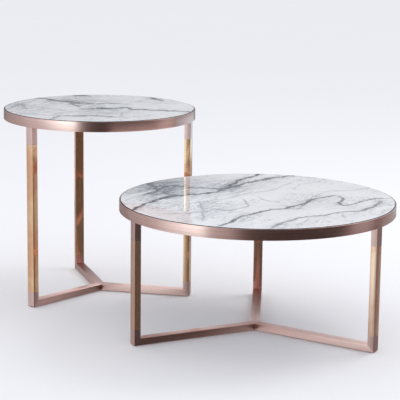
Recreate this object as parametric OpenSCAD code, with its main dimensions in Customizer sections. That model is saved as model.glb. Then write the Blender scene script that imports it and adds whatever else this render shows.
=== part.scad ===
// Nesting tables: a low, wide table and a tall, narrow one that partly stands over it.
// Each table is a rolled rim on three legs, with a loose glass top that lies inside the rim.
// Millimetres, +Z up, floor at z = 0, origin in the middle of the pair's plan.

/* [Low table] */
// Outside diameter of the low table's rim
low_d = 800; // [600:5:1000]
// Height of the low table's rim above the floor
low_h = 390; // [250:5:480]
// Direction of the low table's right leg
low_turn = -33; // [-60:1:20]

/* [Tall table] */
// Outside diameter of the tall table's rim
tall_d = 600; // [450:5:760]
// Height of the tall table's rim above the floor
tall_h = 590; // [490:5:760]
// Direction of the tall table's right leg
tall_turn = -12; // [-30:1:20]

/* [Nesting] */
// Direction of the tall table from the low one
nest_angle = 138.5; // [110:0.5:170]
// Smallest space between a tall table's leg and the low table's rim
nest_clearance = 5; // [1:0.5:50]

/* [Rim and ledge] */
// Height of the rim band
rim_h = 30; // [22:1:50]
// Thickness of the rim band
rim_t = 3; // [1.5:0.5:5]
// Width of the ledge welded inside the rim band
ledge_w = 30; // [24:1:45]
// Thickness of the ledge
ledge_t = 3; // [1.5:0.5:5]
// Chamfer on the rim band's edges
rim_edge = 0.4; // [0.1:0.1:0.6]

/* [Glass top] */
// Thickness of the glass
glass_t = 6; // [4:0.5:10]
// Space between the glass and the rim band all round
glass_gap = 1; // [0.5:0.25:3]
// How far the glass stands above the rim
glass_proud = 1.5; // [0:0.25:2]
// Bevel ground on the glass's edges
glass_bevel = 0.8; // [0.2:0.1:1.5]
// Diameter of a pad under the glass
pad_d = 12; // [6:1:18]
// Thickness of a pad under the glass
pad_t = 2; // [1:0.5:4]
// Number of pads under one glass
pad_count = 6; // [3:1:12]

/* [Legs and floor bars] */
// Space between a rim band and the legs inside it
leg_gap = 1; // [0.5:0.5:10]
// Width of the tube, across the leg
tube_w = 28; // [20:1:40]
// Depth of the tube, which is the height of a floor bar
tube_t = 20; // [12:1:22]
// Wall of the tube
tube_wall = 1.5; // [1:0.1:3]
// Radius of the tube's long edges
tube_edge = 1.2; // [0.4:0.1:2]
// Radius that the welded foot of each leg is ground to
foot_round = 2.5; // [0.5:0.1:3]

/* [Glides] */
// Diameter of a floor glide
glide_d = 16; // [10:1:20]
// Thickness of a floor glide
glide_t = 2; // [1:0.5:6]

/* [Hidden] */
$fn = 180;

brushed_rose_gold = "#c08a74";
polished_rose_gold = "#c9a070";
marble_white = "#e6e8ec";
pad_clear = "#d8dadc";
glide_black = "#2b2a2a";

// The three legs of a table, at a third of a turn from each other
RIGHT = 0;
BACK = 1;
LEFT = 2;
leg_step = 120;

low_r = low_d / 2;
tall_r = tall_d / 2;

// How far the legs' outer faces lie from their table's centre
low_reach = low_r - rim_t - leg_gap;
tall_reach = tall_r - rim_t - leg_gap;

// Levels of the pieces in a rim, from the rim's top
glass_under = glass_proud - glass_t;
ledge_top = glass_under - pad_t;
ledge_under = ledge_top - ledge_t;

// A cutter reaches this far past what it cuts
past = 1;

// The tables stand as close as they can along nest_angle: the first leg corner of the tall
// table to meet the low rim sets the distance between the two centres
nest_way = [cos(nest_angle), sin(nest_angle)];
keep_out = low_r + nest_clearance;

function turned(p, a) = [p.x * cos(a) - p.y * sin(a), p.x * sin(a) + p.y * cos(a)];

tall_leg_corners = [
    for (k = [RIGHT, BACK, LEFT])
        for (across = [-tube_w / 2, tube_w / 2])
            for (out = [tall_reach - tube_t, tall_reach])
                turned([out, across], tall_turn + k * leg_step)
];

function distance_that_clears(corner) =
    let (
        along = corner * nest_way,
        aside_sq = corner * corner - along * along,
        room_sq = keep_out * keep_out - aside_sq
    )
    room_sq > 0 ? sqrt(room_sq) - along : 0;

nest_distance = max([for (corner = tall_leg_corners) distance_that_clears(corner)]);
apart = nest_distance * nest_way;

// Middle of the pair's plan, seen from the low table's centre
function middle(offset) = (max(low_r, offset + tall_r) + min(-low_r, offset - tall_r)) / 2;
pair_middle = [middle(apart.x), middle(apart.y)];
low_at = -pair_middle;
tall_at = apart - pair_middle;

module at_low() {
    translate([low_at.x, low_at.y, 0])
        rotate([0, 0, low_turn])
            children();
}

module at_tall() {
    translate([tall_at.x, tall_at.y, 0])
        rotate([0, 0, tall_turn])
            children();
}

// Rolled band: the flat bar's section swept round, with its edges broken
module rim_band(r, h) {
    translate([0, 0, h - rim_h])
        rotate_extrude()
            polygon([
                [r - rim_t, 0],
                [r - rim_edge, 0],
                [r, rim_edge],
                [r, rim_h - rim_edge],
                [r - rim_edge, rim_h],
                [r - rim_t + rim_edge, rim_h],
                [r - rim_t, rim_h - rim_edge]
            ]);
}

// Flat ring welded inside the band, which the legs meet from below
module glass_ledge(r, h) {
    translate([0, 0, h + ledge_under])
        rotate_extrude()
            translate([r - rim_t - ledge_w, 0])
                square([ledge_w, ledge_t]);
}

module glass_pads(r, h) {
    for (k = [0 : pad_count - 1])
        rotate([0, 0, (k + 0.5) * 360 / pad_count])
            translate([r - rim_t - ledge_w / 2, 0, h + ledge_top])
                cylinder(d = pad_d, h = pad_t);
}

// Round glass with a bevelled edge, top and bottom
module glass_top(r, h) {
    glass_r = r - rim_t - glass_gap;
    translate([0, 0, h + glass_under])
        rotate_extrude()
            polygon([
                [0, 0],
                [glass_r - glass_bevel, 0],
                [glass_r, glass_bevel],
                [glass_r, glass_t - glass_bevel],
                [glass_r - glass_bevel, glass_t],
                [0, glass_t]
            ]);
}

// Section of the tube's outside, with x from -tube_t to 0 and y across
module tube_outside() {
    translate([-tube_t + tube_edge, -tube_w / 2])
        square([tube_t - 2 * tube_edge, tube_w]);
    translate([-tube_t, -tube_w / 2 + tube_edge])
        square([tube_t, tube_w - 2 * tube_edge]);
    for (x = [-tube_t + tube_edge, -tube_edge])
        for (y = [-tube_w / 2 + tube_edge, tube_w / 2 - tube_edge])
            translate([x, y])
                circle(r = tube_edge);
}

module tube(length) {
    difference() {
        linear_extrude(length)
            tube_outside();
        translate([-tube_t + tube_wall, -tube_w / 2 + tube_wall, -past])
            cube([tube_t - 2 * tube_wall, tube_w - 2 * tube_wall, length + 2 * past]);
    }
}

// Everything on one side of the 45-degree plane where a leg meets its floor bar:
// side 1 is the leg's side and side -1 the bar's. It cuts what it covers.
module mitre_cutter(reach, side) {
    span = 2 * reach;
    translate([reach, 0, glide_t])
        rotate([0, 45, 0])
            translate([-span / 2, -tube_w, side > 0 ? 0 : -span])
                cube([span, 2 * tube_w, span]);
}

// Rounds the outside corner at the foot, on the leg and on the bar alike
module foot_cutter(reach) {
    translate([reach - foot_round, 0, glide_t + foot_round])
        rotate([90, 0, 0])
            difference() {
                translate([0, -foot_round - past, -tube_w / 2 - past])
                    cube([foot_round + past, foot_round + past, tube_w + 2 * past]);
                cylinder(r = foot_round, h = tube_w + 4 * past, center = true);
            }
}

// Upright tube from the mitre at the floor to the ledge
module leg(reach, h, k) {
    rotate([0, 0, k * leg_step])
        difference() {
            translate([reach, 0, glide_t])
                tube(h + ledge_under - glide_t);
            mitre_cutter(reach, -1);
            foot_cutter(reach);
        }
}

// Tube along the floor, from the leg's mitre to the middle, where three bars meet in a point
module floor_bar(reach, k) {
    point_len = tube_w / 2 / tan(leg_step / 2);
    rotate([0, 0, k * leg_step])
        difference() {
            translate([0, 0, glide_t])
                rotate([0, 90, 0])
                    tube(reach);
            mitre_cutter(reach, 1);
            foot_cutter(reach);
            for (side = [-1, 1])
                translate([0, 0, glide_t - past])
                    linear_extrude(tube_t + 2 * past)
                        polygon([
                            [0, 0],
                            [2 * point_len, side * tube_w],
                            [-tube_w, side * tube_w],
                            [-tube_w, 0]
                        ]);
        }
}

// One glide under each foot and one under the middle
module floor_glides(reach) {
    cylinder(d = glide_d, h = glide_t);
    for (k = [RIGHT, BACK, LEFT])
        rotate([0, 0, k * leg_step])
            translate([reach - foot_round - glide_d / 2, 0, 0])
                cylinder(d = glide_d, h = glide_t);
}

module low_glass_top() {
    color(marble_white)
        at_low()
            glass_top(low_r, low_h);
}

module low_glass_pads() {
    color(pad_clear)
        at_low()
            glass_pads(low_r, low_h);
}

module low_rim_band() {
    color(brushed_rose_gold)
        at_low()
            rim_band(low_r, low_h);
}

module low_glass_ledge() {
    color(brushed_rose_gold)
        at_low()
            glass_ledge(low_r, low_h);
}

module low_leg(k) {
    color(polished_rose_gold)
        at_low()
            leg(low_reach, low_h, k);
}

module low_floor_bar(k) {
    color(brushed_rose_gold)
        at_low()
            floor_bar(low_reach, k);
}

module low_floor_glides() {
    color(glide_black)
        at_low()
            floor_glides(low_reach);
}

module tall_glass_top() {
    color(marble_white)
        at_tall()
            glass_top(tall_r, tall_h);
}

module tall_glass_pads() {
    color(pad_clear)
        at_tall()
            glass_pads(tall_r, tall_h);
}

module tall_rim_band() {
    color(brushed_rose_gold)
        at_tall()
            rim_band(tall_r, tall_h);
}

module tall_glass_ledge() {
    color(brushed_rose_gold)
        at_tall()
            glass_ledge(tall_r, tall_h);
}

module tall_leg(k) {
    color(polished_rose_gold)
        at_tall()
            leg(tall_reach, tall_h, k);
}

module tall_floor_bar(k) {
    color(brushed_rose_gold)
        at_tall()
            floor_bar(tall_reach, k);
}

module tall_floor_glides() {
    color(glide_black)
        at_tall()
            floor_glides(tall_reach);
}

low_glass_top();
low_glass_pads();
low_rim_band();
low_glass_ledge();
low_leg(RIGHT);  // low_leg_right
low_leg(BACK);  // low_leg_back
low_leg(LEFT);  // low_leg_left
low_floor_bar(RIGHT);  // low_floor_bar_right
low_floor_bar(BACK);  // low_floor_bar_back
low_floor_bar(LEFT);  // low_floor_bar_left
low_floor_glides();
tall_glass_top();
tall_glass_pads();
tall_rim_band();
tall_glass_ledge();
tall_leg(RIGHT);  // tall_leg_right
tall_leg(BACK);  // tall_leg_back
tall_leg(LEFT);  // tall_leg_left
tall_floor_bar(RIGHT);  // tall_floor_bar_right
tall_floor_bar(BACK);  // tall_floor_bar_back
tall_floor_bar(LEFT);  // tall_floor_bar_left
tall_floor_glides();
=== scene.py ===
"""The looks of a pair of nesting tables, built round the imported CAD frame.

Everything is in metres and in the frame's own axes: +Z up, and -Y towards the front.
"""

import math

import bmesh
import bpy
import numpy as np
from mathutils import Matrix, Vector


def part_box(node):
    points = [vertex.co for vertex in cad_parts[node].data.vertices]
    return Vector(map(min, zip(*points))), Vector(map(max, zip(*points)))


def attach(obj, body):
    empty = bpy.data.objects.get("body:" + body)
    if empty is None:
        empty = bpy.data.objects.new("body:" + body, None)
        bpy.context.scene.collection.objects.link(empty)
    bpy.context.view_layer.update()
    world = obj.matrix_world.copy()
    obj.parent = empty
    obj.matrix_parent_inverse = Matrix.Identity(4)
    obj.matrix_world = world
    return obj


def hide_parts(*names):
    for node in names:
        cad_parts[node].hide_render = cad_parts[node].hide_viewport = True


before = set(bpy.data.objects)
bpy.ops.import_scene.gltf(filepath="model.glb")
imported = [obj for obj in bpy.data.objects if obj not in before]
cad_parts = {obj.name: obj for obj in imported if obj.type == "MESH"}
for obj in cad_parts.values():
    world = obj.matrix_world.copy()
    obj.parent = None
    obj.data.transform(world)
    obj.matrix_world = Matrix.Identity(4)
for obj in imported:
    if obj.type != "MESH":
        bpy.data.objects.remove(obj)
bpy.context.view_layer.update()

# ---------------------------------------------------------------- sizes

# What the boxes of the CAD nodes don't give
RIM_T = 0.003
RIM_EDGE = 0.0004
# The rims stay this far inside the CAD rims, so that no piece leaves the CAD box
WITHIN = 0.00004
LEDGE_EDGE = 0.0004
GLASS_EDGE = 0.0008
TUBE_W = 0.028
TUBE_EDGE = 0.0012
FOOT_ROUND = 0.0025
MITRE_EDGE = 0.0003
PAD_COUNT = 6
PAD_R = 0.006
PAD_EDGE = 0.0006
GLIDE_R = 0.008
GLIDE_EDGE = 0.0005
LEDGE_W = 0.030
LEG_NAMES = ("right", "back", "left")

# How smooth the meshes are
RING_STEPS = 288
SMALL_RING_STEPS = 40
EDGE_STEPS = 4
FOOT_CUTS = 7
GLASS_RING_GAP = 0.0055
SHARP_ANGLE = math.radians(32)
# Two directions whose dot product passes this are the same
SAME_WAY = 0.9999

# Each leg is brushed at its foot and under the rim, and polished between
BRUSHED_FOOT = 0.048
BRUSHED_HEAD = 0.054

# ---------------------------------------------------------------- veins of the printed marble

# A stroke is (darkness, half its width, its route from the middle of the top).
# The strokes of one layer stay apart; strokes that meet or cross lie in different layers.
LOW_VEINS = (
    (
        (0.95, 0.0030, ((-0.37, -0.20), (-0.30, -0.05), (-0.25, 0.02), (-0.20, 0.05), (-0.14, 0.08),
                        (-0.09, 0.15), (-0.05, 0.28), (0.00, 0.36), (0.05, 0.43))),
        (0.85, 0.0024, ((-0.12, -0.38), (-0.08, -0.31), (-0.05, -0.24), (-0.01, -0.20), (0.03, -0.15),
                        (0.07, -0.13), (0.13, -0.06), (0.16, 0.00), (0.21, 0.05), (0.24, 0.07))),
        (0.60, 0.0020, ((-0.40, 0.04), (-0.38, 0.14), (-0.34, 0.22), (-0.27, 0.29), (-0.20, 0.35),
                        (-0.10, 0.41))),
        (0.30, 0.0014, ((0.13, -0.03), (0.21, 0.12), (0.28, 0.14), (0.36, 0.20))),
    ),
    (
        (0.85, 0.0034, ((-0.09, 0.15), (-0.05, 0.20), (0.00, 0.27), (0.06, 0.33), (0.12, 0.37),
                        (0.17, 0.38))),
        (0.75, 0.0026, ((-0.33, 0.03), (-0.29, 0.11), (-0.26, 0.18), (-0.20, 0.16), (-0.14, 0.15),
                        (-0.09, 0.15))),
        (0.65, 0.0022, ((0.02, -0.40), (0.05, -0.33), (0.10, -0.26), (0.14, -0.23), (0.18, -0.21),
                        (0.23, -0.17), (0.29, -0.14), (0.34, -0.06), (0.36, 0.01))),
        (0.70, 0.0022, ((0.24, 0.07), (0.25, 0.01), (0.23, -0.05), (0.25, -0.08), (0.29, -0.03), (0.34, 0.02),
                        (0.40, 0.04))),
        (0.30, 0.0014, ((-0.14, -0.04), (-0.08, 0.01), (-0.02, 0.09), (0.04, 0.13), (0.12, 0.27))),
        (0.35, 0.0016, ((-0.17, -0.04), (-0.16, -0.16), (-0.16, -0.32))),
    ),
    (
        (0.70, 0.0030, ((-0.34, 0.27), (-0.31, 0.18), (-0.27, 0.07), (-0.23, 0.03))),
        (0.45, 0.0020, ((-0.31, 0.24), (-0.26, 0.23), (-0.21, 0.26))),
        (0.40, 0.0016, ((0.07, -0.13), (0.11, -0.13), (0.14, -0.05))),
        (0.35, 0.0016, ((-0.05, 0.02), (-0.03, -0.08), (-0.05, -0.13), (-0.09, -0.17), (-0.14, -0.14),
                        (-0.19, -0.21), (-0.27, -0.22))),
        (0.30, 0.0014, ((0.23, -0.16), (0.23, -0.26))),
        (0.28, 0.0014, ((0.00, 0.04), (0.03, -0.03), (0.08, -0.05))),
        (0.30, 0.0014, ((0.09, -0.35), (0.12, -0.29), (0.13, -0.25))),
    ),
)
TALL_VEINS = (
    (
        (1.00, 0.0046, ((-0.06, -0.05), (-0.01, -0.02), (0.03, -0.02), (0.07, -0.03))),
        (0.90, 0.0036, ((-0.27, 0.18), (-0.23, 0.20), (-0.19, 0.18), (-0.15, 0.14), (-0.10, 0.11),
                        (-0.05, 0.07))),
        (0.70, 0.0024, ((-0.13, -0.27), (-0.11, -0.19), (-0.06, -0.19), (0.00, -0.18), (0.05, -0.20),
                        (0.08, -0.20))),
        (0.70, 0.0026, ((0.05, 0.30), (0.12, 0.28), (0.17, 0.25), (0.22, 0.21))),
        (0.40, 0.0020, ((-0.28, -0.08), (-0.27, -0.02), (-0.26, 0.06), (-0.24, 0.00), (-0.22, -0.07))),
    ),
    (
        (0.95, 0.0030, ((0.05, -0.03), (0.08, 0.00), (0.11, -0.03), (0.16, -0.04), (0.22, -0.06),
                        (0.31, -0.08))),
        (1.00, 0.0050, ((-0.16, 0.28), (-0.12, 0.29), (-0.08, 0.27), (-0.04, 0.26))),
        (0.70, 0.0024, ((-0.14, 0.13), (-0.08, 0.10), (-0.04, 0.08), (0.02, 0.09), (0.09, 0.08))),
        (0.30, 0.0016, ((-0.25, -0.13), (-0.17, -0.18), (-0.10, -0.17))),
        (0.25, 0.0016, ((0.10, 0.16), (0.18, 0.11), (0.26, 0.10))),
    ),
    (
        (0.80, 0.0036, ((0.14, 0.29), (0.17, 0.22), (0.19, 0.15))),
        (0.65, 0.0024, ((-0.11, 0.15), (-0.09, 0.07), (-0.06, -0.01))),
        (0.30, 0.0016, ((0.07, -0.20), (0.08, -0.10))),
        (0.30, 0.0016, ((-0.30, 0.01), (-0.30, 0.07), (-0.27, 0.13))),
        (0.25, 0.0016, ((-0.21, 0.00), (-0.14, -0.05), (-0.07, -0.11))),
    ),
)
# Where the print is smoky: (x, y, radius along x, radius along y, darkness)
LOW_SMOKE = ((-0.28, 0.14, 0.10, 0.16, 1.0), (-0.08, 0.17, 0.06, 0.10, 0.7), (-0.15, -0.15, 0.12, 0.10, 0.25))
TALL_SMOKE = ((-0.08, 0.12, 0.12, 0.10, 0.6), (-0.26, 0.05, 0.06, 0.12, 0.4), (0.02, -0.10, 0.10, 0.09, 0.4))
# A vein and its halo fade from half this many half widths, and are gone past it
VEIN_REACH = 7.0
# The half widths above are multiplied by this on the glass
LOW_VEIN_WIDTH = 2.4
TALL_VEIN_WIDTH = 3.0
# A vein fades over this length at each end, to this share of its darkness
VEIN_TAPER = 0.035
VEIN_END = 0.25
CURVE_STEPS = 8

# ---------------------------------------------------------------- the two tables


class Table:
    """Places and sizes of one table, read from its CAD nodes."""

    def __init__(self, name, veins, vein_width, smoke):
        self.name = name
        self.veins = veins
        self.vein_width = vein_width
        self.smoke = smoke
        self.body = f"{name}_table"
        self.glass_body = f"{name}_glass"
        low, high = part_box(f"{name}_rim_band")
        self.middle = Vector(((low.x + high.x) / 2, (low.y + high.y) / 2, 0))
        self.rim_r = min(high.x - low.x, high.y - low.y) / 2 - WITHIN
        self.rim_low, self.rim_top = low.z, high.z
        low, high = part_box(f"{name}_glass_ledge")
        self.ledge_low, self.ledge_top = low.z, high.z
        low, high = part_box(f"{name}_glass_top")
        self.glass_low, self.glass_top = low.z, high.z
        self.glass_r = max(high.x - low.x, high.y - low.y) / 2
        low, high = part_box(f"{name}_floor_bar_right")
        self.bar_low = low.z
        self.tube_t = high.z - low.z
        low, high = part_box(f"{name}_leg_right")
        leg = (low + high) / 2 - self.middle
        self.turn = math.atan2(leg.y, leg.x)
        self.reach = math.hypot(leg.x, leg.y) + self.tube_t / 2

    def place(self, leg=0):
        """Takes a leg's own frame, with x outwards from the middle, to the frame of the pair."""
        return Matrix.Translation(self.middle) @ Matrix.Rotation(self.turn + leg * math.tau / 3, 4, "Z")


low_table = Table("low", LOW_VEINS, LOW_VEIN_WIDTH, LOW_SMOKE)
tall_table = Table("tall", TALL_VEINS, TALL_VEIN_WIDTH, TALL_SMOKE)

# ---------------------------------------------------------------- mesh helpers


def piece(name, mesh, material, body, node):
    """Adds a mesh as a finished piece that rides on a body and stands for a CAD node."""
    mesh.materials.append(material)
    mesh.shade_smooth()
    mesh.set_sharp_from_angle(angle=SHARP_ANGLE)
    made = bpy.data.objects.new(name, mesh)
    bpy.context.scene.collection.objects.link(made)
    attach(made, body)
    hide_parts(node)


def rounded(corners, radius, steps=EDGE_STEPS):
    """The closed outline through corners, with each corner replaced by an arc."""
    outline = []
    count = len(corners)
    for i, corner in enumerate(corners):
        here = Vector(corner)
        back = (Vector(corners[i - 1]) - here).normalized()
        ahead = (Vector(corners[(i + 1) % count]) - here).normalized()
        half = back.angle(ahead) / 2
        centre = here + (back + ahead).normalized() * radius / math.sin(half)
        start = here + back * radius / math.tan(half) - centre
        end = here + ahead * radius / math.tan(half) - centre
        sweep = start.angle(end)
        for step in range(steps + 1):
            share = step / steps
            arm = (math.sin((1 - share) * sweep) * start + math.sin(share * sweep) * end) / math.sin(sweep)
            outline.append(tuple(centre + arm))
    return outline


def set_vectors(mesh, name, domain, values):
    layer = mesh.attributes.new(name, "FLOAT_VECTOR", domain)
    layer.data.foreach_set("vector", np.asarray(values, np.float32).ravel())


def set_floats(mesh, name, values):
    layer = mesh.attributes.new(name, "FLOAT", "POINT")
    layer.data.foreach_set("value", np.asarray(values, np.float32).ravel())


def turned(name, outline, middle, steps, closed):
    """Sweeps an outline of (radius, height) round a vertical axis. An open outline starts and ends
    on the axis. The mesh says how far along and across the sweep each corner lies."""
    verts = []
    rows = []
    for radius, height in outline:
        if radius == 0:
            rows.append([len(verts)] * steps)
            verts.append((middle.x, middle.y, height))
            continue
        rows.append(range(len(verts), len(verts) + steps))
        for step in range(steps):
            angle = step * math.tau / steps
            verts.append((middle.x + radius * math.cos(angle), middle.y + radius * math.sin(angle), height))
    faces = []
    grain = []
    widest = max(radius for radius, height in outline)
    pairs = len(outline) if closed else len(outline) - 1
    for i in range(pairs):
        j = (i + 1) % len(outline)
        for step in range(steps):
            after = (step + 1) % steps
            quad = [(i, rows[i][step], step), (i, rows[i][after], step + 1),
                    (j, rows[j][after], step + 1), (j, rows[j][step], step)]
            if rows[i][step] == rows[i][after]:
                quad.pop(1)
            elif rows[j][step] == rows[j][after]:
                quad.pop(2)
            faces.append([vert for row, vert, turn in quad])
            grain += [(turn / steps * math.tau * widest, *outline[row]) for row, vert, turn in quad]
    mesh = bpy.data.meshes.new(name)
    mesh.from_pydata(verts, [], faces)
    set_vectors(mesh, "grain", "CORNER", grain)
    spots = np.array(verts) - np.array(middle)
    round_about = np.stack([-spots[:, 1], spots[:, 0], 0 * spots[:, 0]], 1) / widest
    set_vectors(mesh, "brush_way", "POINT", round_about)
    return mesh


def cut_away(mesh, point, normal):
    """Cuts off what lies past a plane, on its normal's side, and closes the cut."""
    everything = mesh.verts[:] + mesh.edges[:] + mesh.faces[:]
    plane = {"plane_co": point, "plane_no": normal, "dist": 1e-7}
    bmesh.ops.bisect_plane(mesh, geom=everything, clear_outer=True, **plane)
    rim = [edge for edge in mesh.edges if edge.is_boundary]
    if rim:
        bmesh.ops.holes_fill(mesh, edges=rim, sides=0)


def tube_mesh(name, table, leg, start, end, spot, mitres, along):
    """A length of tube with rounded long edges, cut off by planes.

    spot takes (depth from the outer face, place across, place along) to the leg's frame;
    mitres are (point, normal) planes, and along is the tube's direction in the leg's frame."""
    half = TUBE_W / 2
    section = rounded([(0, -half), (table.tube_t, -half), (table.tube_t, half), (0, half)], TUBE_EDGE)
    made = bmesh.new()
    ends = [[made.verts.new(spot(depth, across, at)) for depth, across in section] for at in (start, end)]
    for i in range(len(section)):
        made.faces.new((ends[0][i - 1], ends[0][i], ends[1][i], ends[1][i - 1]))
    made.faces.new(ends[0])
    made.faces.new(ends[1])
    bmesh.ops.recalc_face_normals(made, faces=made.faces)
    foot = Vector((table.reach - FOOT_ROUND, 0, table.bar_low + FOOT_ROUND))
    for i in range(FOOT_CUTS):
        angle = (i + 0.5) / FOOT_CUTS * math.pi / 2
        away = Vector((math.sin(angle), 0, -math.cos(angle)))
        cut_away(made, foot + away * FOOT_ROUND, away)
    for point, normal in mitres:
        cut_away(made, point, normal)
    made.normal_update()
    seams = {
        edge
        for face in made.faces
        for point, normal in mitres
        if face.normal.dot(Vector(normal).normalized()) > SAME_WAY
        for edge in face.edges
    }
    bmesh.ops.bevel(made, geom=list(seams), offset=MITRE_EDGE, segments=1, affect="EDGES", clamp_overlap=True)
    bmesh.ops.recalc_face_normals(made, faces=made.faces)
    mesh = bpy.data.meshes.new(name)
    made.to_mesh(mesh)
    made.free()
    spots = np.array([vert.co for vert in mesh.vertices])
    order = (2, 0, 1) if along.z else (0, 2, 1)
    set_vectors(mesh, "grain", "POINT", spots[:, order])
    above_floor = spots[:, 2]
    zone = np.stack([above_floor, table.rim_low - above_floor, 0 * above_floor], 1)
    set_vectors(mesh, "zone", "POINT", zone)
    mesh.transform(table.place(leg))
    way = table.place(leg).to_3x3() @ along
    set_vectors(mesh, "brush_way", "POINT", np.tile(way, (len(spots), 1)))
    return mesh


def merged(name, meshes):
    """One mesh that holds several separate solids."""
    joined = bmesh.new()
    for mesh in meshes:
        joined.from_mesh(mesh)
        bpy.data.meshes.remove(mesh)
    mesh = bpy.data.meshes.new(name)
    joined.to_mesh(mesh)
    joined.free()
    return mesh


# ---------------------------------------------------------------- material helpers


class Nodes:
    """A node tree under construction: short calls that add and link its nodes."""

    def __init__(self, tree):
        self.nodes = tree.nodes
        self.links = tree.links

    def feed(self, socket, value):
        if isinstance(value, bpy.types.NodeSocket):
            self.links.new(value, socket)
        else:
            socket.default_value = value

    def attribute(self, name):
        node = self.nodes.new("ShaderNodeAttribute")
        node.attribute_name = name
        return node.outputs["Vector"]

    def number(self, name):
        node = self.nodes.new("ShaderNodeAttribute")
        node.attribute_name = name
        return node.outputs["Fac"]

    def place(self):
        """Place on the object at rest, in the frame of the pair."""
        return self.nodes.new("ShaderNodeTexCoord").outputs["Object"]

    def math(self, operation, a, b=0.0, c=0.0, clamp=False):
        node = self.nodes.new("ShaderNodeMath")
        node.operation = operation
        node.use_clamp = clamp
        for socket, value in zip(node.inputs, (a, b, c)):
            self.feed(socket, value)
        return node.outputs[0]

    def vector(self, operation, a, b):
        node = self.nodes.new("ShaderNodeVectorMath")
        node.operation = operation
        self.feed(node.inputs[0], a)
        self.feed(node.inputs[1], b)
        return node.outputs[0]

    def turned(self, vector, angle):
        node = self.nodes.new("ShaderNodeVectorRotate")
        node.rotation_type = "Z_AXIS"
        node.inputs["Angle"].default_value = angle
        self.feed(node.inputs["Vector"], vector)
        return node.outputs[0]

    def split(self, vector):
        node = self.nodes.new("ShaderNodeSeparateXYZ")
        self.feed(node.inputs[0], vector)
        return node.outputs

    def noise(self, vector, scale, detail=2.0, roughness=0.5, distortion=0.0):
        node = self.nodes.new("ShaderNodeTexNoise")
        self.feed(node.inputs["Vector"], vector)
        self.feed(node.inputs["Scale"], scale)
        self.feed(node.inputs["Detail"], detail)
        self.feed(node.inputs["Roughness"], roughness)
        self.feed(node.inputs["Distortion"], distortion)
        return node.outputs["Fac"]

    def spread(self, value, low, high, to_low=0.0, to_high=1.0, smooth=True):
        """Takes low..high to to_low..to_high and holds outside."""
        node = self.nodes.new("ShaderNodeMapRange")
        node.interpolation_type = "SMOOTHSTEP" if smooth else "LINEAR"
        node.clamp = True
        for socket, item in zip(node.inputs, (value, low, high, to_low, to_high)):
            self.feed(socket, item)
        return node.outputs[0]

    def mix(self, share, a, b, blend="MIX"):
        node = self.nodes.new("ShaderNodeMix")
        node.data_type = "RGBA"
        node.blend_type = blend
        self.feed(node.inputs[0], share)
        self.feed(node.inputs[6], a)
        self.feed(node.inputs[7], b)
        return node.outputs[2]

    def bump(self, height, strength, distance):
        node = self.nodes.new("ShaderNodeBump")
        self.feed(node.inputs["Strength"], strength)
        node.inputs["Distance"].default_value = distance
        self.feed(node.inputs["Height"], height)
        return node.outputs[0]


class Shader(Nodes):
    """A material under construction, with a Principled surface."""

    def __init__(self, name):
        self.material = bpy.data.materials.new(name)
        self.material.use_nodes = True
        super().__init__(self.material.node_tree)
        self.surface = self.nodes["Principled BSDF"]

    def set(self, **values):
        for name, value in values.items():
            self.feed(self.surface.inputs[name.replace("_", " ")], value)


# ---------------------------------------------------------------- metal

BRUSHED_TINT = (0.84, 0.50, 0.44, 1)
BRUSHED_DEEP = (0.70, 0.39, 0.335, 1)
# Scales of the brush marks, along the brush and twice across it
BRUSH_LINES = (7.0, 1500.0, 1500.0)
BRUSH_BANDS = (2.2, 160.0, 160.0)
BRUSHED_ROUGHNESS = 0.30
POLISHED_ROUGHNESS = 0.11
# Highlights stretch across the brush marks
ANISOTROPY = 0.82
ACROSS_THE_BRUSH = 0.25
BRUSH_BUMP = 0.25
BRUSH_DEPTH = 0.00002
# Fine haze on the polish gives back some of the soft light
POLISHED_HAZE = 0.12
# How soft and how ragged the line between brush and polish is
ZONE_EDGE = 0.0006
ZONE_RAGGED = 0.0007
# The legs' palest and deepest colours: the polish is golden on the tall table and rosier on the low, and the
# tall table's colours are paler, a painted highlight that brightens its legs
LEG_COLOURS = {
    "low": {
        "ends": (BRUSHED_TINT, BRUSHED_DEEP),
        "polish": ((0.84, 0.50, 0.37, 1), (0.76, 0.42, 0.29, 1)),
    },
    "tall": {
        # Painted highlight: the tall table's brushed ends are a paler copy of the brushed tint, and its
        # polish is paler than the low table's
        "ends": ((0.98, 0.62, 0.56, 1), (0.84, 0.50, 0.44, 1)),
        "polish": ((0.98, 0.59, 0.35, 1), (0.90, 0.45, 0.26, 1)),
    },
}


def brush_marks(shader):
    """Fine lines and broader bands along the brush, both about 0.5 in the middle."""
    grain = shader.attribute("grain")
    lines = shader.noise(shader.vector("MULTIPLY", grain, BRUSH_LINES), 1.0, 3.0, 0.6)
    bands = shader.noise(shader.vector("MULTIPLY", grain, BRUSH_BANDS), 1.0, 2.0, 0.5)
    return lines, bands


def brushed_look(shader, lines, bands, tint, deep):
    """Colour, from tint to deep, and roughness of brushed rose gold."""
    tone = shader.math("ADD", shader.math("MULTIPLY", lines, 0.6), shader.math("MULTIPLY", bands, 0.4))
    colour = shader.mix(shader.spread(tone, 0.34, 0.66), deep, tint)
    roughness = shader.spread(lines, 0.3, 0.7, BRUSHED_ROUGHNESS - 0.03, BRUSHED_ROUGHNESS + 0.05)
    return colour, roughness


def brushed_metal(name):
    shader = Shader(name)
    lines, bands = brush_marks(shader)
    colour, roughness = brushed_look(shader, lines, bands, BRUSHED_TINT, BRUSHED_DEEP)
    shader.set(Base_Color=colour, Roughness=roughness, Metallic=1.0, Tangent=shader.attribute("brush_way"))
    shader.set(Anisotropic=ANISOTROPY, Anisotropic_Rotation=ACROSS_THE_BRUSH)
    shader.set(Normal=shader.bump(lines, BRUSH_BUMP, BRUSH_DEPTH))
    return shader.material


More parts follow.
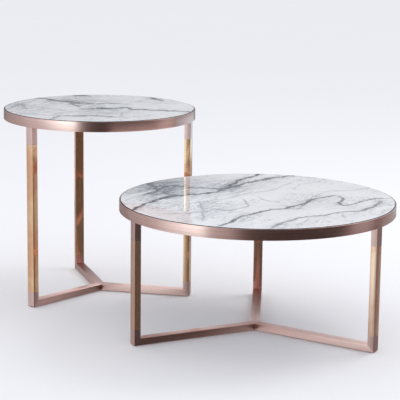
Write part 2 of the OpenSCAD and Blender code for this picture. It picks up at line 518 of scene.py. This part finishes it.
def leg_metal(name, ends, polish):
    """Brushed near both ends and polished between, on one tube."""
    shader = Shader(name)
    lines, bands = brush_marks(shader)
    brushed, brushed_rough = brushed_look(shader, lines, bands, *ends)
    place = shader.place()
    clouds = shader.noise(place, 9.0, 3.0, 0.55)
    pale, deep = polish
    polished = shader.mix(shader.spread(clouds, 0.40, 0.60), deep, pale)
    smears = shader.noise(place, 40.0, 4.0, 0.6)
    polished_rough = shader.spread(smears, 0.35, 0.75, POLISHED_ROUGHNESS - 0.02, POLISHED_ROUGHNESS + 0.05)
    ragged = shader.spread(lines, 0.0, 1.0, -ZONE_RAGGED, ZONE_RAGGED, smooth=False)
    between = 1.0
    for distance, length in zip(shader.split(shader.attribute("zone")), (BRUSHED_FOOT, BRUSHED_HEAD)):
        past = shader.math("ADD", distance, ragged)
        past = shader.spread(past, length - ZONE_EDGE, length + ZONE_EDGE)
        between = shader.math("MULTIPLY", between, past)
    shader.set(Base_Color=shader.mix(between, brushed, polished))
    shader.set(Metallic=shader.math("MULTIPLY_ADD", between, -POLISHED_HAZE, 1.0))
    share = shader.math("SUBTRACT", polished_rough, brushed_rough)
    shader.set(Roughness=shader.math("MULTIPLY_ADD", between, share, brushed_rough))
    shader.set(Anisotropic=ANISOTROPY, Anisotropic_Rotation=ACROSS_THE_BRUSH)
    shader.set(Tangent=shader.attribute("brush_way"))
    strength = shader.spread(between, 0.0, 1.0, BRUSH_BUMP, 0.0, smooth=False)
    shader.set(Normal=shader.bump(lines, strength, BRUSH_DEPTH))
    return shader.material


# ---------------------------------------------------------------- printed marble glass

MARBLE_WHITE = (0.90, 0.905, 0.925, 1)
MARBLE_CLOUD = (0.60, 0.61, 0.67, 1)
MARBLE_SMOKE = (0.13, 0.13, 0.185, 1)
VEIN_GREY = (0.085, 0.080, 0.135, 1)
VEIN_DARK = (0.022, 0.018, 0.038, 1)
BACK_PAINT = (0.60, 0.61, 0.63, 1)
EDGE_DARK = (0.012, 0.015, 0.014, 1)
GLASS_ROUGHNESS = 0.03
# Clouds and fine veins lie on a slant, and are this much finer across it than along it
CLOUD_ANGLE = math.radians(-52)
STRETCH = (1.0, 2.8, 1.0)
# How ragged the drawn veins are: (noise scale, detail, reach to each side in half widths)
WIGGLES = ((26.0, 4.0, 1.6), (110.0, 3.0, 0.6))
# In half widths: a vein's ink ends between the first two, and its halo at the third
INK_ENDS = (0.5, 1.25)
HALO_END = 5.5
# The faintest a broken vein gets
VEIN_LEAST = 0.62
# How much each layer of the print shows
CLOUD_SHARE = 0.45
SHRED_SHARE = 0.80
NET_SHARE = 0.62
# Wisps show most in smoke and halos in wisps: what that adds, and what shows anywhere
WISP_SHARE = 0.42
EVEN_SHARE = 0.05
# Smoke thickens the wisps by this
SMOKE_WISPS = 0.12
# The print starts between these heights over the glass's underside, and the dark rim of the
# glass ends between these distances from its edge
PRINT_STARTS = (0.0005, 0.0010)
RIM_LINE_ENDS = (0.0004, 0.0012)
# Nets of fine veins: scale, width, scale of the patches they show in, and the level of the
# patches' noise above which they show
FINE_VEINS = ((3.6, 0.010, 3.0, 0.48), (7.5, 0.014, 5.0, 0.46), (16.0, 0.022, 7.0, 0.50))


def fine_net(shader, spot, stretched, smoke):
    """Thin ragged lines, in patches and wherever the print is smoky."""
    net = 0.0
    for scale, width, patch_scale, cover in FINE_VEINS:
        ridge = shader.math("SUBTRACT", shader.noise(stretched, scale, 7.0, 0.62, 0.9), 0.5)
        line = shader.spread(shader.math("ABSOLUTE", ridge), 0.0, width, 1.0, 0.0)
        patches = shader.spread(shader.noise(spot, patch_scale, 2.0, 0.5), cover, cover + 0.12)
        patches = shader.math("MAXIMUM", patches, smoke)
        net = shader.math("MAXIMUM", net, shader.math("MULTIPLY", line, patches))
    return net


def drawn_veins(shader, spot, layers):
    """The ragged ink of the drawn veins, and the halo round them."""
    wiggle = 0.0
    for scale, detail, reach in WIGGLES:
        waves = shader.noise(spot, scale, detail, 0.6)
        wiggle = shader.math("ADD", wiggle, shader.spread(waves, 0.2, 0.8, -reach, reach, smooth=False))
    ink = halo = 0.0
    for i in range(layers):
        gap = shader.math("ABSOLUTE", shader.math("ADD", shader.number(f"vein_gap_{i}"), wiggle))
        strength = shader.number(f"vein_ink_{i}")
        inside = shader.spread(gap, *INK_ENDS, 1.0, 0.0)
        ink = shader.math("MAXIMUM", ink, shader.math("MULTIPLY", inside, strength))
        near = shader.spread(gap, 0.0, HALO_END, 1.0, 0.0)
        halo = shader.math("MAXIMUM", halo, shader.math("MULTIPLY", near, strength))
    broken = shader.spread(shader.noise(spot, 45.0, 3.0, 0.6), 0.30, 0.60, VEIN_LEAST, 1.0)
    return shader.math("MULTIPLY", ink, broken), halo


def marble_print(shader, table, spot):
    """The colour of the printed marble: clouds, smoke, a fine network and the drawn veins."""
    ink, halo = drawn_veins(shader, spot, len(table.veins))
    stretched = shader.vector("MULTIPLY", shader.turned(spot, CLOUD_ANGLE), STRETCH)
    smoke = shader.number("smoke")
    clouds = shader.spread(shader.noise(stretched, 4.0, 5.0, 0.6, 0.3), 0.45, 0.75)
    colour = shader.mix(shader.math("MULTIPLY", clouds, CLOUD_SHARE), MARBLE_WHITE, MARBLE_CLOUD)
    wisps = shader.math("MULTIPLY_ADD", smoke, SMOKE_WISPS, shader.noise(stretched, 16.0, 8.0, 0.72, 0.6))
    wisps = shader.spread(wisps, 0.46, 0.60)
    share = shader.math("MULTIPLY_ADD", smoke, WISP_SHARE, EVEN_SHARE)
    colour = shader.mix(shader.math("MULTIPLY", wisps, share, clamp=True), colour, MARBLE_SMOKE)
    shreds = shader.spread(shader.noise(stretched, 30.0, 6.0, 0.70, 0.6), 0.48, 0.55)
    dense = shader.math("MULTIPLY", shader.math("MULTIPLY", shreds, smoke), SHRED_SHARE)
    colour = shader.mix(dense, colour, VEIN_GREY)
    share = shader.math("MULTIPLY_ADD", wisps, WISP_SHARE, EVEN_SHARE)
    colour = shader.mix(shader.math("MULTIPLY", halo, share), colour, MARBLE_SMOKE)
    net = fine_net(shader, spot, stretched, smoke)
    colour = shader.mix(shader.math("MULTIPLY", net, NET_SHARE), colour, VEIN_GREY)
    return shader.mix(ink, colour, VEIN_DARK)


def marble_glass(table):
    """Gloss glass with marble printed on it, painted at the back and dark at the edge."""
    shader = Shader(f"{table.name}_marble")
    spot = shader.vector("SUBTRACT", shader.place(), tuple(table.middle))
    colour = marble_print(shader, table, spot)
    height = shader.split(shader.place())[2]
    printed = shader.spread(height, *(table.glass_low + start for start in PRINT_STARTS))
    colour = shader.mix(printed, BACK_PAINT, colour)
    edge = shader.spread(shader.number("from_edge"), *RIM_LINE_ENDS, 1.0, 0.0)
    colour = shader.mix(edge, colour, EDGE_DARK)
    shader.set(Base_Color=colour, IOR=1.5, Specular_IOR_Level=0.5)
    polish = shader.noise(spot, 30.0, 3.0, 0.5)
    shader.set(Roughness=shader.spread(polish, 0.3, 0.8, GLASS_ROUGHNESS - 0.01, GLASS_ROUGHNESS + 0.02))
    return shader.material


# ---------------------------------------------------------------- pads and glides

PAD_LOOK = {"colour": (0.62, 0.63, 0.64), "roughness": 0.25, "grain_scale": 300.0}
GLIDE_LOOK = {"colour": (0.02, 0.019, 0.019), "roughness": 0.55, "grain_scale": 900.0}
PALER = 1.15


def soft_plastic(name, colour, roughness, grain_scale):
    shader = Shader(name)
    mottle = shader.noise(shader.place(), grain_scale, 4.0, 0.6)
    pale = [min(1.0, value * PALER) for value in colour]
    shader.set(Base_Color=shader.mix(shader.spread(mottle, 0.3, 0.7), (*colour, 1), (*pale, 1)))
    shader.set(Roughness=shader.spread(mottle, 0.3, 0.7, roughness, roughness + 0.1))
    shader.set(Normal=shader.bump(mottle, 0.3, 0.0001))
    return shader.material


# ---------------------------------------------------------------- marble print on the mesh


def curve_through(route):
    """Points along a smooth curve through the route's points."""
    route = [Vector(point) for point in route]
    padded = [2 * route[0] - route[1], *route, 2 * route[-1] - route[-2]]
    points = []
    for before, start, end, after in zip(padded, padded[1:], padded[2:], padded[3:]):
        for step in range(CURVE_STEPS):
            t = step / CURVE_STEPS
            bend = 2 * before - 5 * start + 4 * end - after
            twist = 3 * start - before - 3 * end + after
            points.append(0.5 * (2 * start + (end - before) * t + bend * t**2 + twist * t**3))
    points.append(route[-1])
    return np.array(points)


def stroke_reading(spots, darkness, half_width, route, widening):
    """For each spot: signed distance to the stroke in half widths, and how dark the stroke is there."""
    points = curve_through(route)
    starts, steps = points[:-1], np.diff(points, axis=0)
    lengths = np.hypot(steps[:, 0], steps[:, 1])
    offset = spots[:, None, :] - starts[None]
    share = np.clip((offset * steps).sum(2) / lengths**2, 0, 1)
    apart = offset - share[:, :, None] * steps
    distance = np.hypot(apart[:, :, 0], apart[:, :, 1])
    nearest = distance.argmin(1)
    rows = np.arange(len(spots))
    step, away = steps[nearest], offset[rows, nearest]
    side = np.sign(step[:, 0] * away[:, 1] - step[:, 1] * away[:, 0])
    done = np.concatenate([[0], np.cumsum(lengths)])[nearest] + share[rows, nearest] * lengths[nearest]
    taper = np.clip(np.minimum(done, lengths.sum() - done) / VEIN_TAPER, 0, 1)
    gap = side * distance[rows, nearest] / (half_width * widening)
    fade = np.clip(2 - 2 * np.abs(gap) / VEIN_REACH, 0, 1)
    return gap, darkness * fade * (VEIN_END + (1 - VEIN_END) * taper) * (taper > 0)


def print_marble(mesh, table):
    """Writes the drawn veins and the smoke onto the glass's vertices."""
    spots = np.array([vert.co.xy for vert in mesh.vertices]) - np.array(table.middle.xy)
    for i, layer in enumerate(table.veins):
        readings = [stroke_reading(spots, *stroke, table.vein_width) for stroke in layer]
        gaps = np.array([gap for gap, ink in readings])
        inks = np.array([ink for gap, ink in readings])
        chosen = np.abs(gaps).argmin(0)
        rows = np.arange(len(spots))
        set_floats(mesh, f"vein_gap_{i}", gaps[chosen, rows])
        set_floats(mesh, f"vein_ink_{i}", inks[chosen, rows])
    smoke = np.zeros(len(spots))
    for x, y, wide, deep, darkness in table.smoke:
        away = ((spots[:, 0] - x) / wide) ** 2 + ((spots[:, 1] - y) / deep) ** 2
        smoke = np.maximum(smoke, darkness * np.exp(-away))
    set_floats(mesh, "smoke", smoke)
    set_floats(mesh, "from_edge", table.glass_r - np.hypot(spots[:, 0], spots[:, 1]))


# ---------------------------------------------------------------- pieces


def box_section(inside, outside, low, high, edge):
    """The outline, as (radius, height), of a ring or disc with rounded edges."""
    return rounded([(inside, low), (outside, low), (outside, high), (inside, high)], edge)


def add_glass(table, material):
    name = f"{table.name}_top"
    edge = box_section(0.0, table.glass_r, table.glass_low, table.glass_top, GLASS_EDGE)
    wide = [(radius, height) for radius, height in edge if radius > 2 * GLASS_EDGE]
    rings = int(table.glass_r / GLASS_RING_GAP)
    inner = [(table.glass_r * i / rings, table.glass_top) for i in range(rings - 1, 0, -1)]
    outline = [(0, table.glass_low), *wide, *inner, (0, table.glass_top)]
    mesh = turned(name, outline, table.middle, RING_STEPS, closed=False)
    print_marble(mesh, table)
    slot, node = f"{table.name}_marble_glass", f"{table.name}_glass_top"
    piece(name, mesh, material, table.glass_body, node)


def add_rim(table, band_material, ledge_material):
    inside = table.rim_r - RIM_T
    name = f"{table.name}_band"
    outline = box_section(inside, table.rim_r, table.rim_low, table.rim_top, RIM_EDGE)
    mesh = turned(name, outline, table.middle, RING_STEPS, closed=True)
    piece(name, mesh, band_material, table.body, f"{table.name}_rim_band")
    name = f"{table.name}_ledge"
    outline = box_section(inside - LEDGE_W, inside, table.ledge_low, table.ledge_top, LEDGE_EDGE)
    mesh = turned(name, outline, table.middle, RING_STEPS, closed=True)
    piece(name, mesh, ledge_material, table.body, f"{table.name}_glass_ledge")


def add_legs(table, leg_material, bar_material):
    """Three legs and three floor bars, mitred where they meet at the feet and in the middle."""
    corner = Vector((table.reach, 0, table.bar_low))
    up = Vector((0, 0, 1))
    out = Vector((1, 0, 0))
    hub = Vector((0, 0, 0))
    # Each bar ends in a point, on the planes halfway to the bars beside it
    hub_planes = [(hub, Vector((-math.sqrt(3), side, 0))) for side in (-1, 1)]

    def upright(depth, across, at):
        return table.reach - depth, across, at

    def lying(depth, across, at):
        return at, across, table.bar_low + depth

    for leg, side in enumerate(LEG_NAMES):
        node = f"{table.name}_leg_{side}"
        name = f"{node}_tube"
        ends = (table.bar_low, table.ledge_low)
        mesh = tube_mesh(name, table, leg, *ends, upright, [(corner, -up - out)], up)
        piece(name, mesh, leg_material, table.body, node)
        node = f"{table.name}_floor_bar_{side}"
        name = f"{node}_tube"
        ends = (-TUBE_W, table.reach)
        mesh = tube_mesh(name, table, leg, *ends, lying, [(corner, up + out), *hub_planes], out)
        piece(name, mesh, bar_material, table.body, node)


def pad_places(table):
    """Evenly round the ledge, in the middle of its width."""
    out = Vector((table.rim_r - RIM_T - LEDGE_W / 2, 0, 0))
    steps = [(i + 0.5) / PAD_COUNT for i in range(PAD_COUNT)]
    return [table.place() @ Matrix.Rotation(step * math.tau, 4, "Z") @ out for step in steps]


def glide_places(table):
    """Under the middle and under each foot."""
    out = Vector((table.reach - FOOT_ROUND - GLIDE_R, 0, 0))
    return [table.middle, *(table.place(leg) @ out for leg in range(len(LEG_NAMES)))]


def add_discs(table, material, kind, places, radius, edge):
    """Replaces a node that is a group of equal upright discs by discs with rounded edges."""
    node = f"{table.name}_{kind}"
    name = f"{node}_set"
    low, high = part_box(node)
    side = [(r, z) for r, z in box_section(0.0, radius, low.z, high.z, edge) if r > edge]
    outline = [(0, low.z), *side, (0, high.z)]
    meshes = [turned("disc", outline, place, SMALL_RING_STEPS, closed=False) for place in places]
    piece(name, merged(name, meshes), material, table.body, node)


band_metal = brushed_metal("brushed_band")
ledge_metal = brushed_metal("inner_steel")
bar_metal = brushed_metal("bar_tube")
clear_pad = soft_plastic("clear_pad", **PAD_LOOK)
glide_plastic = soft_plastic("glide", **GLIDE_LOOK)
for table in (low_table, tall_table):
    add_glass(table, marble_glass(table))
    add_rim(table, band_metal, ledge_metal)
    add_legs(table, leg_metal(f"{table.name}_leg_tube", **LEG_COLOURS[table.name]), bar_metal)
    add_discs(table, clear_pad, "glass_pads", pad_places(table), PAD_R, PAD_EDGE)
    add_discs(table, glide_plastic, "floor_glides", glide_places(table), GLIDE_R, GLIDE_EDGE)

# ---------------------------------------------------------------- camera

# In front of the pair, looking slightly down through a long lens
CAMERA_AT = (0.026, -4.494, 1.2735)
CAMERA_TILT = math.radians(11.583)
CAMERA_ROLL = math.radians(0.717)
CAMERA_LENS = 137.4

camera = bpy.data.objects.new("camera", bpy.data.cameras.new("camera"))
camera.data.lens = CAMERA_LENS
camera.matrix_world = (
    Matrix.Translation(CAMERA_AT)
    @ Matrix.Rotation(math.pi / 2 - CAMERA_TILT, 4, "X")
    @ Matrix.Rotation(CAMERA_ROLL, 4, "Z")
)
bpy.context.scene.collection.objects.link(camera)
bpy.context.scene.camera = camera

# ---------------------------------------------------------------- floor and light

FLOOR_HALF = 40.0
FLOOR_COLOUR = (0.86, 0.862, 0.885)
FLOOR_MOTTLE = 0.985
SKY_COLOUR = (0.97, 0.975, 1.0, 1)
# What the eye sees past the floor, and the soft light from the sky, level and straight up
BACKDROP_GLOW = 0.995
SKY_LOW = 0.62
SKY_HIGH = 1.20
KEY_LIGHT = {"at": (2.2, 1.0, 3.4), "aim": (0, 0, 0.2), "side": 1.6, "power": 30}

# Soft cards that only reflections see. A card has its right and left ends, its levels with the
# share of the light at each, and its glow from the right end (0) to the left end (1). The window
# card reaches below the floor, where the metal near the floor looks down at it; the low cards
# stand behind the pair for the left floor bars, and the end card for the tall rim's right end.
LOW_CARD_LEVELS = ((0.08, 0.0), (0.14, 1.0), (0.48, 1.0), (0.56, 0.0))
LOW_CARD_GLOW = ((0.0, 0.0), (0.15, 0.8), (0.85, 0.8), (1.0, 0.0))
LOW_CARD_COLOUR = (1.0, 1.15, 1.2, 1)
CARDS = {
    "window_card": {
        "right": (-1.02, -1.74), "left": (-2.60, -0.52),
        "levels": ((-0.60, 0.0), (-0.32, 0.36), (0.15, 0.38), (0.50, 1.0), (1.9, 1.0)),
        "glow": ((0.0, 0.0), (0.08, 2.1), (0.22, 2.0), (0.40, 1.5), (0.65, 0.72), (1.0, 0.0)),
        "colour": (0.80, 1.22, 1.30, 1),
    },
    "low_card_a": {
        "right": (0.08, 1.2), "left": (-0.28, 1.2),
        "levels": LOW_CARD_LEVELS, "glow": LOW_CARD_GLOW, "colour": LOW_CARD_COLOUR,
    },
    "low_card_b": {
        "right": (-0.46, 1.2), "left": (-0.74, 1.2),
        "levels": LOW_CARD_LEVELS, "glow": LOW_CARD_GLOW, "colour": LOW_CARD_COLOUR,
    },
    "tall_end_card": {
        "right": (1.10, 0.38), "left": (0.30, 1.20),
        "levels": ((0.24, 0.0), (0.30, 1.0), (0.42, 1.0), (0.48, 0.0)),
        "glow": ((0.0, 0.0), (0.07, 0.3), (0.15, 1.2), (0.30, 0.95), (0.88, 0.68), (1.0, 0.1)),
        "colour": (0.60, 1.10, 1.35, 1),
    },
}
CARD_STEPS = 36

# What reflections see in place of the floor and the sky: rows of (angle from the front, counted
# to the right, in degrees; brightness there level or below; brightness there high up)
ROOM_GLOW = (
    (-180, 0.31, 0.95), (-172, 0.29, 0.80), (-163, 0.22, 0.60), (-150, 0.32, 0.90), (-130, 0.45, 1.40),
    (-100, 0.53, 1.40), (-84, 0.70, 1.60), (-66, 0.54, 1.50), (-50, 0.54, 1.40), (-30, 0.44, 1.05),
    (-24, 0.44, 0.95), (-18, 0.24, 0.55), (-12, 0.10, 0.20), (0, 0.07, 0.13), (30, 0.07, 0.10),
    (58, 0.07, 0.12), (74, 0.08, 0.18), (84, 0.37, 0.75), (100, 0.44, 1.20), (114, 0.12, 1.30),
    (125, 0.34, 1.70), (150, 0.44, 1.90), (165, 0.32, 1.50), (175, 0.18, 0.95), (180, 0.31, 0.95),
)
# Heights of the ray, as parts of its length, that count as level and as high up
ROOM_LEVEL = 0.0
ROOM_HIGH = 0.72
# The bright parts of the room are cooler than the dark ones, and turn so between these levels
ROOM_TONE_TURNS = (0.1, 0.7)
ROOM_DARK = (1.0, 0.97, 0.95, 1)
ROOM_BRIGHT = (1.0, 1.20, 1.27, 1)


def stage_piece(name, mesh, material):
    mesh.materials.append(material)
    made = bpy.data.objects.new(name, mesh)
    bpy.context.scene.collection.objects.link(made)
    return made


def paper():
    shader = Shader("paper")
    mottle = shader.noise(shader.place(), 2.0, 3.0, 0.5)
    shade = [value * FLOOR_MOTTLE for value in FLOOR_COLOUR]
    shader.set(Base_Color=shader.mix(mottle, (*shade, 1), (*FLOOR_COLOUR, 1)))
    shader.set(Roughness=1.0, Specular_IOR_Level=0.0)
    return shader.material


def add_floor():
    mesh = bpy.data.meshes.new("floor")
    corners = [(x * FLOOR_HALF, y * FLOOR_HALF, 0) for x, y in ((-1, -1), (1, -1), (1, 1), (-1, 1))]
    mesh.from_pydata(corners, [], [range(len(corners))])
    floor = stage_piece("floor", mesh, paper())
    floor.visible_glossy = False


def add_card(name, right, left, levels, glow, colour):
    """An upright card of soft light that the camera and soft light don't see."""
    verts = []
    light = []
    shares, strengths = zip(*glow)
    for level, part in levels:
        for step in range(CARD_STEPS + 1):
            share = step / CARD_STEPS
            verts.append((*Vector(right).lerp(Vector(left), share), level))
            light.append(part * np.interp(share, shares, strengths))
    row = CARD_STEPS + 1
    faces = [
        (i + k * row, i + 1 + k * row, i + 1 + (k + 1) * row, i + (k + 1) * row)
        for k in range(len(levels) - 1)
        for i in range(CARD_STEPS)
    ]
    mesh = bpy.data.meshes.new(name)
    mesh.from_pydata(verts, [], faces)
    set_floats(mesh, "glow", light)
    shader = Shader(name)
    lamp = shader.nodes.new("ShaderNodeEmission")
    lamp.inputs["Color"].default_value = colour
    shader.feed(lamp.inputs["Strength"], shader.number("glow"))
    clear = shader.nodes.new("ShaderNodeBsdfTransparent")
    both = shader.nodes.new("ShaderNodeAddShader")
    shader.links.new(lamp.outputs[0], both.inputs[0])
    shader.links.new(clear.outputs[0], both.inputs[1])
    shader.links.new(both.outputs[0], shader.nodes["Material Output"].inputs["Surface"])
    shader.material.cycles.emission_sampling = "NONE"
    card = stage_piece(name, mesh, shader.material)
    card.visible_camera = False
    card.visible_diffuse = False
    card.visible_shadow = False
    card.visible_transmission = False


def softbox(name, at, aim, side, power):
    light = bpy.data.lights.new(name, "AREA")
    light.size = side
    light.energy = power
    lamp = bpy.data.objects.new(name, light)
    lamp.location = at
    lamp.rotation_euler = (Vector(aim) - Vector(at)).to_track_quat("-Z", "Y").to_euler()
    bpy.context.scene.collection.objects.link(lamp)


def glow_ramp(tree, turn, column):
    """Brightness by the angle, where turn runs from 0 to 1 and starts and ends at the back."""
    ramp = tree.nodes.new("ShaderNodeValToRGB")
    stops = ramp.color_ramp.elements
    for row in ROOM_GLOW[1:-1]:
        stops.new(row[0] / 360 + 0.5)
    brightest = max(row[column] for row in ROOM_GLOW)
    for stop, row in zip(stops, ROOM_GLOW):
        stop.color = (*[row[column] / brightest] * 3, 1)
    tree.feed(ramp.inputs[0], turn)
    return tree.math("MULTIPLY", ramp.outputs[0], brightest)


def add_sky():
    """An even pale sky for the eye and for soft light, and the studio's room for reflections."""
    world = bpy.data.worlds.new("studio")
    bpy.context.scene.world = world
    world.use_nodes = True
    world.cycles.sampling_method = "NONE"
    tree = Nodes(world.node_tree)
    way = tree.nodes.new("ShaderNodeTexCoord").outputs["Generated"]
    right, back, up = tree.split(way)
    turn = tree.math("ARCTAN2", right, tree.math("MULTIPLY", back, -1.0))
    turn = tree.math("MULTIPLY_ADD", turn, 1 / math.tau, 0.5)
    level, high = (glow_ramp(tree, turn, column) for column in (1, 2))
    room = tree.mix(tree.spread(up, ROOM_LEVEL, ROOM_HIGH), level, high)
    tone = tree.mix(tree.spread(room, *ROOM_TONE_TURNS), ROOM_DARK, ROOM_BRIGHT)
    room = tree.mix(1.0, room, tone, "MULTIPLY")
    ray = tree.nodes.new("ShaderNodeLightPath").outputs
    glow = tree.spread(up, 0.0, 1.0, SKY_LOW, SKY_HIGH, smooth=False)
    glow = tree.mix(ray["Is Glossy Ray"], glow, room)
    glow = tree.mix(ray["Is Camera Ray"], glow, (*[BACKDROP_GLOW] * 3, 1))
    sky = world.node_tree.nodes["Background"]
    tree.feed(sky.inputs["Color"], tree.mix(1.0, SKY_COLOUR, glow, "MULTIPLY"))
    tree.feed(sky.inputs["Strength"], 1.0)


add_floor()
add_sky()
for name, card in CARDS.items():
    add_card(name, **card)
softbox("key", **KEY_LIGHT)

bpy.context.scene.view_settings.view_transform = "Standard"
